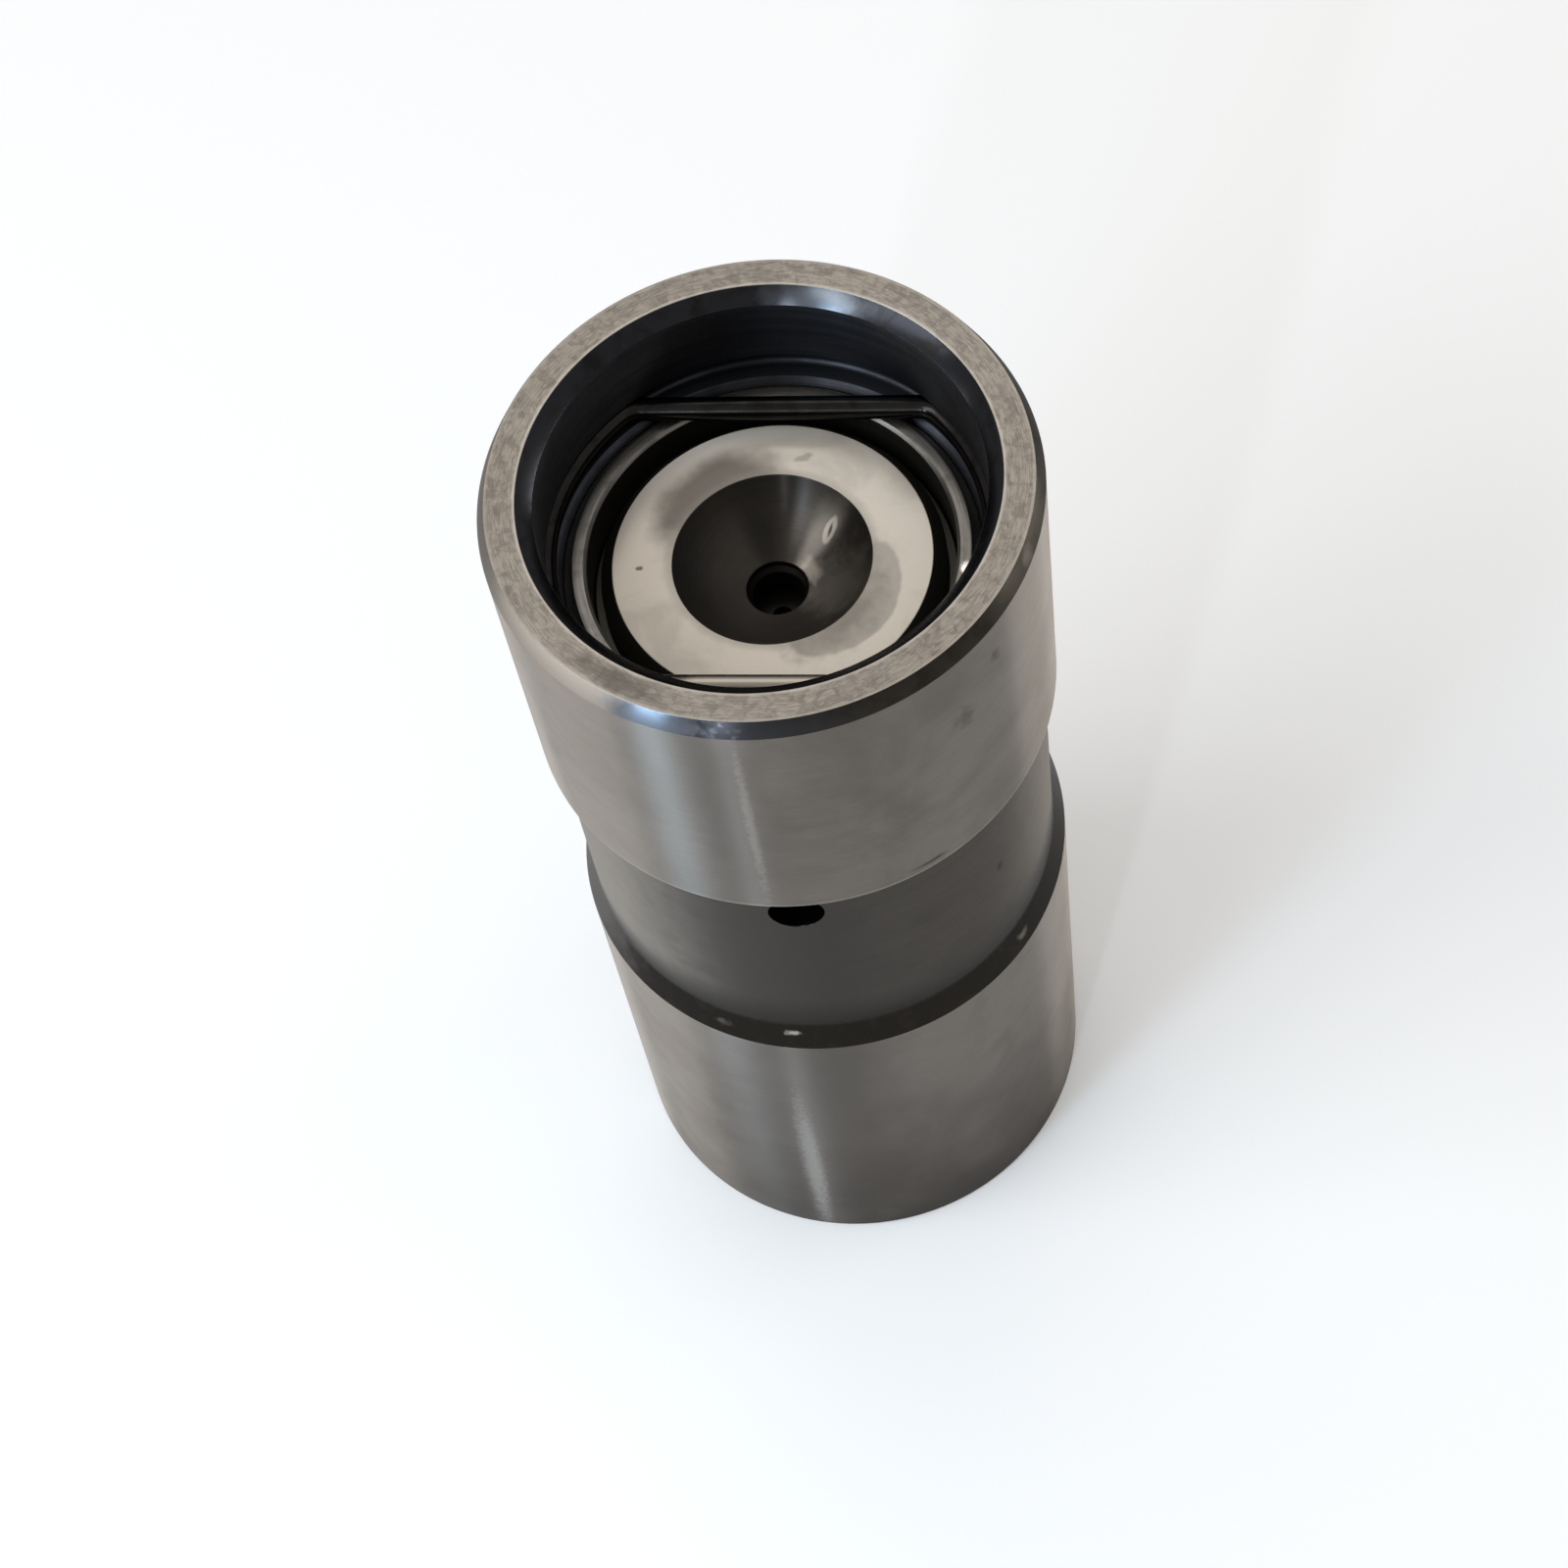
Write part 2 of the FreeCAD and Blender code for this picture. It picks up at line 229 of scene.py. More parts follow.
def blendValue(tree, mask, under, over):
    return put(tree, "ShaderNodeMix", {0: mask, 2: under, 3: over}, data_type="FLOAT").outputs[0]


def newGroup(name, inputs, outputs):
    tree = bpy.data.node_groups.new(name, "ShaderNodeTree")
    for label, value in inputs.items():
        kind = "NodeSocketVector" if isinstance(value, tuple) else "NodeSocketFloat"
        socket = tree.interface.new_socket(name=label, in_out="INPUT", socket_type=kind)
        socket.default_value = value
    for label in outputs:
        tree.interface.new_socket(name=label, in_out="OUTPUT", socket_type="NodeSocketFloat")
    return tree, tree.nodes.new("NodeGroupInput").outputs, tree.nodes.new("NodeGroupOutput").inputs


def spotOnPiece(tree):
    # the object's own coordinates, in millimetres
    return vectorCalc(tree, "SCALE", put(tree, "ShaderNodeTexCoord").outputs["Object"], scale=1 / mm)


def radiusAndHeight(tree, spot):
    parts = put(tree, "ShaderNodeSeparateXYZ", {0: spot}).outputs
    return vectorCalc(tree, "LENGTH", combine(tree, parts[0], parts[1])), parts[2]


def turnBack(tree, vector, degrees):
    # turned about Z, clockwise as seen from above
    inputs = {"Vector": vector, "Angle": calc(tree, "MULTIPLY", degrees, -math.pi / 180)}
    return put(tree, "ShaderNodeVectorRotate", inputs, rotation_type="Z_AXIS").outputs[0]


def raggedness(tree, given, spot):
    # noise either side of nought, as strong as the group's Ragged
    noise = put(tree, "ShaderNodeTexNoise", {"Vector": spot, "Scale": given["Scale"], "Detail": 4.0})
    signed = calc(tree, "MULTIPLY_ADD", noise.outputs["Fac"], 2.0, -1.0)
    return calc(tree, "MULTIPLY", signed, given["Ragged"])


def patchMask(tree, given, spot, offset):
    # full inside a patch's core and none past its rim, where offset is 1 long
    distance = calc(tree, "ADD", vectorCalc(tree, "LENGTH", offset), raggedness(tree, given, spot))
    return spread(tree, distance, 1.0, given["Core"])


radiusShare = 1.3  # radius counts more than height in the lines, so that they show on 45 degrees too


def makeTurningMarks():
    # fine lines round the axis: they follow height on a side, and radius on a face
    inputs = {"Fineness": 8.0, "Wander": 0.15, "Low": 0.35, "High": 0.7}
    tree, given, result = newGroup("turningMarks", inputs, ["Mask", "Height"])
    spot = spotOnPiece(tree)
    radius, height = radiusAndHeight(tree, spot)
    across = calc(tree, "MULTIPLY_ADD", radius, radiusShare, height)
    across = calc(tree, "MULTIPLY", across, given["Fineness"])
    flat = vectorCalc(tree, "MULTIPLY", spot, (1, 1, 0))
    around = vectorCalc(tree, "SCALE", flat, scale=given["Wander"])
    place = vectorCalc(tree, "ADD", around, combine(tree, third=across))
    noise = put(tree, "ShaderNodeTexNoise", {"Vector": place, "Scale": 1.0, "Detail": 3.0, "Roughness": 0.6})
    lines = noise.outputs["Fac"]
    tree.links.new(spread(tree, lines, given["Low"], given["High"]), result["Mask"])
    tree.links.new(lines, result["Height"])
    return tree


def makeStains():
    # clouded patches
    tree, given, result = newGroup("stains", {"Scale": 0.5, "Low": 0.45, "High": 0.65}, ["Mask"])
    inputs = {"Vector": spotOnPiece(tree), "Scale": given["Scale"], "Detail": 5.0, "Roughness": 0.62,
              "Distortion": 0.6}
    noise = put(tree, "ShaderNodeTexNoise", inputs).outputs["Fac"]
    tree.links.new(spread(tree, noise, given["Low"], given["High"]), result["Mask"])
    return tree


def makeEdgeWearAndShade():
    # a band along one ring edge, broken up by noise: worn edges, and painted shade where a surface darkens
    # towards a recess
    inputs = {"Radius": 11.0, "Height": 0.0, "Width": 0.2, "Ragged": 0.5, "Scale": 1.5}
    tree, given, result = newGroup("edgeWearAndShade", inputs, ["Mask"])
    spot = spotOnPiece(tree)
    radius, height = radiusAndHeight(tree, spot)
    sideways = calc(tree, "SUBTRACT", radius, given["Radius"])
    upwards = calc(tree, "SUBTRACT", height, given["Height"])
    distance = vectorCalc(tree, "LENGTH", combine(tree, sideways, upwards))
    share = calc(tree, "ADD", 1.0, raggedness(tree, given, spot))
    reach = calc(tree, "MULTIPLY", given["Width"], share)
    tree.links.new(spread(tree, distance, reach, 0.0), result["Mask"])
    return tree


def makeMark():
    # one spot: a soft or ragged oval at its own place, for blemishes, painted glints, a painted reflection
    # and painted shade
    inputs = {"Centre": (0, 0, 0), "Size": (1, 1, 1), "Turn": 0.0, "Ragged": 0.3, "Scale": 2.0, "Core": 0.5}
    tree, given, result = newGroup("mark", inputs, ["Mask"])
    spot = spotOnPiece(tree)
    offset = turnBack(tree, vectorCalc(tree, "SUBTRACT", spot, given["Centre"]), given["Turn"])
    offset = vectorCalc(tree, "DIVIDE", offset, given["Size"])
    tree.links.new(patchMask(tree, given, spot, offset), result["Mask"])
    return tree


def makeArc():
    # a patch that follows the turn of a round piece, its middle and reach in degrees
    inputs = {"Radius": 5.0, "Height": 0.0, "Width": 1.0, "Rise": 2.0, "Middle": 0.0, "Reach": 30.0,
              "Ragged": 0.3, "Scale": 1.0, "Core": 0.2}
    tree, given, result = newGroup("arc", inputs, ["Mask"])
    spot = spotOnPiece(tree)
    parts = put(tree, "ShaderNodeSeparateXYZ", {0: turnBack(tree, spot, given["Middle"])}).outputs
    swing = calc(tree, "MULTIPLY", calc(tree, "ARCTAN2", parts[1], parts[0]), 180 / math.pi)
    radius, height = radiusAndHeight(tree, spot)
    around = calc(tree, "DIVIDE", swing, given["Reach"])
    sideways = calc(tree, "DIVIDE", calc(tree, "SUBTRACT", radius, given["Radius"]), given["Width"])
    upwards = calc(tree, "DIVIDE", calc(tree, "SUBTRACT", height, given["Height"]), given["Rise"])
    offset = combine(tree, around, sideways, upwards)
    tree.links.new(patchMask(tree, given, spot, offset), result["Mask"])
    return tree


groups = {
    "lines": makeTurningMarks(),
    "stains": makeStains(),
    "edge": makeEdgeWearAndShade(),
    "mark": makeMark(),
    "arc": makeArc(),
}
print("node groups built:", len(groups))

grainTurn = 0.25  # of a full turn: light is drawn out across the turning lines, as on ground steel


def layer(kind, colour, roughness=None, depth=None, strength=1.0, **inputs):
    # one layer of a finish, with the inputs of its node group in small letters
    labels = {label.capitalize(): value for label, value in inputs.items()}
    return {"kind": kind, "colour": colour, "roughness": roughness, "depth": depth,
            "strength": strength, "inputs": labels}


def steelFinish(name, look):
    # layers cover one another in order, each with its mask, colour and roughness
    material = bpy.data.materials.new(name)
    material.use_nodes = True
    tree = material.node_tree
    shader = tree.nodes["Principled BSDF"]
    colour = (*look["colour"], 1)
    roughness = look["roughness"]
    for coat in look["layers"]:
        outputs = put(tree, "ShaderNodeGroup", coat["inputs"], node_tree=groups[coat["kind"]]).outputs
        mask = calc(tree, "MULTIPLY", outputs["Mask"], coat["strength"])
        colour = blendColour(tree, mask, colour, (*coat["colour"], 1))
        if coat["roughness"]:
            roughness = blendValue(tree, mask, roughness, coat["roughness"])
        if coat["depth"]:
            inputs = {"Height": outputs["Height"], "Distance": coat["depth"] * mm, "Strength": 1.0}
            bump = put(tree, "ShaderNodeBump", inputs)
            tree.links.new(bump.outputs["Normal"], shader.inputs["Normal"])
    plug(tree, shader.inputs["Base Color"], colour)
    plug(tree, shader.inputs["Roughness"], roughness)
    shader.inputs["Metallic"].default_value = look.get("metallic", 1.0)
    edgeTint = look.get("edgeTint", 1.0)  # below 1 for dark oxide, which reflects less at a slant
    shader.inputs["Specular Tint"].default_value = (edgeTint, edgeTint, edgeTint, 1)
    shader.inputs["Anisotropic"].default_value = look.get("anisotropic", 0.0)
    if look.get("anisotropic"):
        shader.inputs["Anisotropic Rotation"].default_value = grainTurn
        tangent = put(tree, "ShaderNodeTangent", direction_type="RADIAL", axis="Z")
        tree.links.new(tangent.outputs["Tangent"], shader.inputs["Tangent"])
    return material


# Mesh helpers

meshSetup = {
    "roundingStep": 18,  # degrees that one face of a rounded corner turns
    "sharpAngle": 32,  # degrees past which an edge stays sharp
    "mergeGap": 0.001,
    "fineGap": 0.0001,  # for the springs, whose ground ends have short edges
    "drillSteps": 64,
    "faceWeight": 60,  # how much large faces keep their own normals
}


def turnOutline(bm, corners, steps, closed):
    # corners are radius, height and rounding; the wire is rounded, then turned about the axis
    spots = [bm.verts.new((radius, 0, height)) for radius, height, rounding in corners]
    pairs = list(zip(spots, spots[1:]))
    if closed:
        pairs.append((spots[-1], spots[0]))
    for start, end in pairs:
        bm.edges.new((start, end))
    places = [spot.co.copy() for spot in spots]
    for number, (spot, corner) in enumerate(zip(spots, corners)):
        if not corner[2]:
            continue
        back = places[number - 1] - places[number]
        ahead = places[(number + 1) % len(places)] - places[number]
        halfAngle = back.angle(ahead) / 2
        segments = max(2, round((math.pi - 2 * halfAngle) / math.radians(meshSetup["roundingStep"])))
        bmesh.ops.bevel(bm, geom=[spot], offset=corner[2] / math.tan(halfAngle), offset_type="OFFSET",
                        segments=segments, profile=0.5, affect="VERTICES", material=-1)
    bmesh.ops.spin(bm, geom=bm.verts[:] + bm.edges[:], cent=(0, 0, 0), axis=(0, 0, 1),
                   angle=fullTurn, steps=steps, use_merge=True)


def finishPiece(bm, name, body, replaced, materials, gap=meshSetup["mergeGap"]):
    bmesh.ops.remove_doubles(bm, verts=bm.verts, dist=gap)
    bmesh.ops.recalc_face_normals(bm, faces=bm.faces)
    bmesh.ops.scale(bm, vec=(mm, mm, mm), verts=bm.verts)
    mesh = bpy.data.meshes.new(name)
    bm.to_mesh(mesh)
    bm.free()
    for material in materials:
        mesh.materials.append(material)
    mesh.shade_smooth()
    mesh.set_sharp_from_angle(angle=math.radians(meshSetup["sharpAngle"]))
    piece = bpy.data.objects.new(name, mesh)
    bpy.context.scene.collection.objects.link(piece)
    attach(piece, body)
    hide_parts(replaced)
    return piece


def paintZones(bm, zoneOf, looks):
    # each face takes the material of the zone that its middle lies in
    order = list(looks)
    for face in bm.faces:
        middle = face.calc_center_median()
        face.material_index = order.index(zoneOf(math.hypot(middle.x, middle.y), middle.z))
    return [steelFinish(name, look) for name, look in looks.items()]


def carveHole(piece, diameter, flare, height, start, end, face, wallSlot):
    # a drilled hole along Y, its edge broken where it meets face, cut out of a finished piece
    bm = bmesh.new()
    toward = 1 if end > start else -1
    radius = diameter / 2
    lead = 3 * flare  # the drill's cone starts this far outside the face
    corners = [(0, start), (radius + lead + flare, start), (radius + lead + flare, face - toward * lead),
               (radius, face + toward * flare), (radius, end), (0, end)]
    spots = [bm.verts.new((across, along, 0)) for across, along in corners]
    for first, second in zip(spots, spots[1:]):
        bm.edges.new((first, second))
    bmesh.ops.spin(bm, geom=bm.verts[:] + bm.edges[:], cent=(0, 0, 0), axis=(0, 1, 0),
                   angle=fullTurn, steps=meshSetup["drillSteps"], use_merge=True)
    bmesh.ops.remove_doubles(bm, verts=bm.verts, dist=meshSetup["mergeGap"])
    bmesh.ops.recalc_face_normals(bm, faces=bm.faces)
    bmesh.ops.translate(bm, vec=(0, 0, height), verts=bm.verts)
    bmesh.ops.scale(bm, vec=(mm, mm, mm), verts=bm.verts)
    for part in bm.faces:
        part.material_index = wallSlot
    mesh = bpy.data.meshes.new("drill")
    bm.to_mesh(mesh)
    bm.free()
    for material in piece.data.materials:
        mesh.materials.append(material)
    drill = bpy.data.objects.new("drill", mesh)
    bpy.context.scene.collection.objects.link(drill)
    cut = piece.modifiers.new("hole", "BOOLEAN")
    cut.operation = "DIFFERENCE"
    cut.solver = "EXACT"
    cut.object = drill
    bpy.context.view_layer.update()
    graph = bpy.context.evaluated_depsgraph_get()
    carved = bpy.data.meshes.new_from_object(piece.evaluated_get(graph))
    piece.modifiers.clear()
    piece.data = carved
    bpy.data.objects.remove(drill)
    carved.set_sharp_from_angle(angle=math.radians(meshSetup["sharpAngle"]))


def flattenShading(piece):
    # large faces keep their own normals, so that only the rounded edges shade as round
    modifier = piece.modifiers.new("weighted", "WEIGHTED_NORMAL")
    modifier.keep_sharp = True
    modifier.weight = meshSetup["faceWeight"]


# Lifter body

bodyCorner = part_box("lifter_body")[1]
bodySize = {
    "radius": bodyCorner.x / mm,
    "length": bodyCorner.z / mm,
    "footChamfer": 0.22,
    "lowerLand": 22.2,
    "upperLand": 14.88,
    "bandDepth": 0.55,
    "lowerShoulder": 1.4,
    "upperShoulder": 0.6,
    "shoulderRounding": 0.9,
    "rimChamfer": (0.37, 0.76),
    "mouthChamfer": (0.64, 0.6),
    "mouthRadius": 9.2,
    "grooveRadius": 9.9,
    "grooveTop": 47.6,
    "grooveFoot": 46.3,
    "grooveRound": 0.25,
    "boreRadius": 8.75,
    "leadIn": 0.3,
    "stopHeight": 13.79,  # where the bore ends and the spring's pocket starts
    "pocketRadius": 7.7,
    "floorHeight": 5.0,
    "floorRounding": 0.8,
    "feedHole": 2.44,
    "feedHoleDrop": 1.77,  # from the band's top to the hole's middle
    "holeFlare": 0.04,
    "rimRound": 0.06,
    "landRound": 0.12,
    "steps": 256,
}

bodyLooks = {
    "land": {
        "colour": (0.196, 0.177, 0.158), "roughness": 0.33, "anisotropic": 1.0,
        "layers": [
            layer("lines", fineness=13, wander=0.5, depth=0.0018, strength=0.5, colour=(0.165, 0.149, 0.134),
                  roughness=0.4),
            layer("stains", scale=0.16, low=0.42, high=0.7, strength=0.6, colour=(0.14, 0.124, 0.109),
                  roughness=0.4),
            # painted shade: the lower land darker towards the foot on the lower right, where the floor's
            # shadow is reflected
            layer("mark", centre=(9, -9, -4), size=(28, 28, 22), ragged=0.4, scale=0.15, core=0.1,
                  strength=0.85, colour=(0.05, 0.043, 0.037), roughness=0.42),
            # painted shade: the lands darker across their front, standing in for a dark reflection there
            layer("arc", radius=11.5, height=8, width=20, rise=18, middle=-100, reach=42, ragged=0.2,
                  scale=0.3, strength=0.45, colour=(0.07, 0.062, 0.055), roughness=0.42),
            layer("arc", radius=11.5, height=44, width=20, rise=16, middle=-98, reach=12, ragged=0.3,
                  scale=0.6, strength=0.85, colour=(0.135, 0.122, 0.11), roughness=0.36),
            # painted highlight: a narrow upright streak of reflected light on the upper land
            layer("arc", radius=11.5, height=44, width=20, rise=9, middle=-94.7, reach=1.5, ragged=0.7,
                  scale=6, strength=0.5, colour=(0.27, 0.25, 0.228), roughness=0.3),
            # painted shade: the middle of the lands darker, as above
            layer("arc", radius=11.5, height=22, width=20, rise=17, middle=-92, reach=26, ragged=0.2,
                  scale=0.5, strength=0.9, colour=(0.118, 0.107, 0.096), roughness=0.36),
            # painted highlight: a narrow upright streak of reflected light on the lower land
            layer("arc", radius=11.5, height=8, width=20, rise=11, middle=-99, reach=3.6, ragged=0.5,
                  scale=5, strength=0.55, colour=(0.3, 0.29, 0.275), roughness=0.3),
            # painted sheen: the lands lighter on their left side, where they reflect bright surroundings
            layer("arc", radius=11.5, height=25, width=20, rise=70, middle=-157, reach=15, ragged=0.2,
                  strength=0.9, colour=(0.29, 0.265, 0.24)),
            layer("edge", radius=11.48, height=36.72, width=0.16, ragged=0.7, strength=0.7,
                  colour=(0.34, 0.315, 0.285), roughness=0.3),
            layer("mark", centre=(5.9, -9.85, 37.2), size=(1.5, 1.5, 0.22), ragged=0.7, scale=1.6, core=0.1,
                  strength=0.75, colour=(0.05, 0.044, 0.038), roughness=0.45),
            layer("mark", centre=(9.2, -6.9, 48.7), size=(0.45, 0.45, 0.6), ragged=0.9, scale=2.5, core=0.1,
                  strength=0.5, colour=(0.07, 0.062, 0.055), roughness=0.45),
            layer("mark", centre=(7.9, -8.35, 46.6), size=(0.7, 0.7, 0.9), ragged=1, scale=2, core=0.1,
                  strength=0.4, colour=(0.08, 0.07, 0.062), roughness=0.45),
        ],
    },
    "band": {
        "colour": (0.077, 0.069, 0.0615), "roughness": 0.52, "anisotropic": 0.6, "edgeTint": 0.8,
        "layers": [
            layer("lines", fineness=5, wander=0.1, depth=0.002, strength=0.6, colour=(0.062, 0.055, 0.049)),
            layer("stains", scale=0.3, low=0.45, high=0.7, strength=0.5, colour=(0.055, 0.048, 0.042),
                  roughness=0.5),
            # painted sheen on the band's left and right sides, and painted shade across its front
            layer("arc", radius=11, height=30, width=20, rise=40, middle=-160, reach=58, ragged=0.15,
                  colour=(0.2, 0.185, 0.167)),
            layer("arc", radius=11, height=30, width=20, rise=40, middle=-94, reach=28, ragged=0.15,
                  strength=0.9, colour=(0.053, 0.047, 0.042)),
            layer("arc", radius=11, height=30, width=20, rise=40, middle=2, reach=46, ragged=0.15,
                  colour=(0.15, 0.137, 0.122)),
            # painted shade: the band darkens into the recess above the lower shoulder
            layer("edge", radius=10.93, height=23.4, width=3.2, ragged=0.15, colour=(0.017, 0.0145, 0.012),
                  roughness=0.3),
            layer("mark", centre=(8.6, -6.75, 30.6), size=(0.3, 0.3, 0.55), ragged=0.8, scale=2, core=0.1,
                  strength=0.7, colour=(0.02, 0.018, 0.015), roughness=0.5),
        ],
    },
    "shoulder": {
        "colour": (0.018, 0.0155, 0.013), "roughness": 0.26, "anisotropic": 0.5, "edgeTint": 0.66,
        "layers": [
            layer("stains", scale=0.8, low=0.5, high=0.7, strength=0.6, colour=(0.026, 0.022, 0.017),
                  roughness=0.36),
            # painted sheen: the shoulder lighter on its left side
            layer("arc", radius=11.2, height=23, width=5, rise=4, middle=-168, reach=34, ragged=0.3,
                  strength=0.8, colour=(0.13, 0.12, 0.11), roughness=0.36),
            # painted glints: three small reflections of light on the lower shoulder
            layer("mark", centre=(-4.6, -10.3, 22.9), size=(0.5, 0.5, 0.3), ragged=0.8, scale=3, core=0.1,
                  strength=0.6, colour=(0.12, 0.11, 0.1), roughness=0.35),
            layer("mark", centre=(-1.35, -10.95, 23.1), size=(0.55, 0.5, 0.2), ragged=0.6, scale=4, core=0.2,
                  strength=0.9, colour=(0.36, 0.345, 0.32), roughness=0.3),
            layer("mark", centre=(9.3, -6.25, 22.8), size=(0.5, 0.6, 0.3), ragged=0.7, scale=3, core=0.1,
                  strength=0.7, colour=(0.16, 0.145, 0.125), roughness=0.35),
        ],
    },
    "rimChamfer": {
        "colour": (0.036, 0.032, 0.027), "roughness": 0.36, "anisotropic": 0.8, "edgeTint": 0.6,
        "layers": [
            layer("stains", scale=0.9, low=0.45, high=0.7, strength=0.6, colour=(0.022, 0.018, 0.013),
                  roughness=0.4),
            # painted reflection: the outer chamfer bright on its left and faintly blue across the front,
            # with a blue-white painted highlight at the front left
            layer("arc", radius=11.3, height=51.2, width=4, rise=8, middle=-172, reach=62, ragged=0.1,
                  core=0.8, strength=0.9, colour=(0.215, 0.195, 0.175), roughness=0.38),
            layer("arc", radius=11.3, height=51.2, width=1.2, rise=1.6, middle=-92, reach=26, ragged=0.3,
                  scale=1.4, strength=0.8, colour=(0.04, 0.042, 0.05), roughness=0.28),
            layer("arc", radius=11.3, height=51.2, width=1.2, rise=1.6, middle=-110, reach=15, ragged=0.9,
                  scale=2.6, core=0.3, strength=0.85, colour=(0.125, 0.138, 0.165), roughness=0.22),
            layer("mark", centre=(10.6, -3.9, 51.2), size=(0.4, 0.6, 0.5), ragged=0.8, scale=2.5, core=0.2,
                  strength=0.4, colour=(0.12, 0.107, 0.093), roughness=0.4),
        ],
    },
    "rimFace": {
        "colour": (0.375, 0.338, 0.295), "roughness": 0.42, "anisotropic": 0.5,
        "layers": [
            layer("lines", fineness=15, wander=1.6, low=0.42, high=0.6, depth=0.003, strength=0.7,
                  colour=(0.22, 0.197, 0.17)),
            layer("stains", scale=2.2, low=0.48, high=0.62, strength=0.45, colour=(0.17, 0.15, 0.128),
                  roughness=0.5),
            layer("stains", scale=0.7, low=0.5, high=0.66, strength=0.4, colour=(0.19, 0.168, 0.145),
                  roughness=0.5),
            layer("arc", radius=10.5, height=51.6, width=0.7, middle=-120, reach=16, ragged=0.8, scale=1.2,
                  strength=0.7, colour=(0.12, 0.105, 0.09), roughness=0.5),
            layer("edge", radius=11.08, height=51.6, width=0.16, ragged=0.9, strength=0.5,
                  colour=(0.5, 0.46, 0.41), roughness=0.34),
            layer("edge", radius=9.84, height=51.6, width=0.16, ragged=0.9, strength=0.7,
                  colour=(0.55, 0.51, 0.46), roughness=0.3),
        ],
    },
    "mouthChamfer": {
        "colour": (0.03, 0.031, 0.036), "roughness": 0.2, "anisotropic": 0.6,
        "layers": [
            layer("stains", scale=0.8, low=0.45, high=0.7, strength=0.7, colour=(0.016, 0.014, 0.012),
                  roughness=0.3),
            # painted highlight: a blue-white reflection on the inner chamfer at the back
            layer("arc", radius=9.5, height=51.3, width=1, rise=1, middle=76, reach=17, ragged=0.4,
                  scale=1.2, strength=0.9, colour=(0.13, 0.143, 0.162), roughness=0.22),
        ],
    },
    "mouth": {
        "colour": (0.064, 0.068, 0.08), "roughness": 0.34, "anisotropic": 0.7,
        "layers": [
            layer("lines", fineness=4, wander=0.08, depth=0.0015, strength=0.8,
                  colour=(0.036, 0.039, 0.048)),
            layer("stains", scale=0.25, low=0.4, high=0.7, strength=0.7, colour=(0.02, 0.02, 0.021),
                  roughness=0.45),
        ],
    },
    "bore": {
        "colour": (0.2, 0.19, 0.18), "roughness": 0.3, "anisotropic": 0.7,
        "layers": [
            layer("lines", fineness=10, wander=0.3, depth=0.001, strength=0.8, colour=(0.15, 0.142, 0.135)),
        ],
    },
    "foot": {
        "colour": (0.3, 0.285, 0.265), "roughness": 0.28, "anisotropic": 0.4,
        "layers": [
            layer("lines", fineness=6, wander=0.6, depth=0.001, strength=0.8, colour=(0.24, 0.225, 0.21)),
            layer("stains", scale=0.3, low=0.45, high=0.7, strength=0.6, colour=(0.2, 0.185, 0.165),
                  roughness=0.42),
        ],
    },
}


def makeBody():
    size = bodySize
    radius = size["radius"]
    length = size["length"]
    bandRadius = radius - size["bandDepth"]
    bandTop = length - size["upperLand"]
    rimWidth, rimHeight = size["rimChamfer"]
    mouthWidth, mouthHeight = size["mouthChamfer"]
    rimRound = size["rimRound"]
    landRound = size["landRound"]
    shoulder = size["shoulderRounding"]
    corners = [
        (0, 0, 0),
        (radius - size["footChamfer"], 0, rimRound),
        (radius, size["footChamfer"], rimRound),
        (radius, size["lowerLand"], landRound),
        (bandRadius, size["lowerLand"] + size["lowerShoulder"], shoulder),
        (bandRadius, bandTop - size["upperShoulder"], shoulder),
        (radius, bandTop, rimRound),
        (radius, length - rimHeight, rimRound),
        (radius - rimWidth, length, rimRound),
        (size["mouthRadius"] + mouthWidth, length, rimRound),
        (size["mouthRadius"], length - mouthHeight, rimRound),
        (size["mouthRadius"], size["grooveTop"], rimRound),
        (size["grooveRadius"], size["grooveTop"], size["grooveRound"]),
        (size["grooveRadius"], size["grooveFoot"], size["grooveRound"]),
        (size["boreRadius"] + size["leadIn"], size["grooveFoot"], rimRound),
        (size["boreRadius"], size["grooveFoot"] - size["leadIn"], rimRound),
        (size["boreRadius"], size["stopHeight"], rimRound),
        (size["pocketRadius"], size["stopHeight"], rimRound),
        (size["pocketRadius"], size["floorHeight"], size["floorRounding"]),
        (0, size["floorHeight"], 0),
    ]
    bm = bmesh.new()
    turnOutline(bm, corners, size["steps"], closed=False)
    tiny = rimRound / 2  # zones meet within the small roundings

    def zoneOf(across, up):
        if across > size["grooveRadius"] + tiny and up < length - tiny / 2:
            if up > length - rimHeight + tiny:
                return "rimChamfer"
            if up > bandTop - tiny:
                return "land"
            if up > bandTop - size["upperShoulder"] - tiny:
                return "shoulder"
            if up > size["lowerLand"] + size["lowerShoulder"] - tiny:
                return "band"
            if up > size["lowerLand"] + tiny:
                return "shoulder"
            return "land" if up > tiny else "foot"
        if up > length - tiny:
            return "rimFace"
        if up > length - mouthHeight:
            return "mouthChamfer"
        if up > size["grooveFoot"] - size["leadIn"]:
            return "mouth"
        return "foot" if up < tiny else "bore"

    materials = paintZones(bm, zoneOf, bodyLooks)
    piece = finishPiece(bm, "body_shell", "lifter", "lifter_body", materials)
    carveHole(piece, size["feedHole"], size["holeFlare"], bandTop - size["feedHoleDrop"], -2 * radius,
              -size["boreRadius"] / 2, -bandRadius, list(bodyLooks).index("shoulder"))
    flattenShading(piece)
    print("lifter body:", len(piece.data.polygons), "faces")


makeBody()

# Plunger

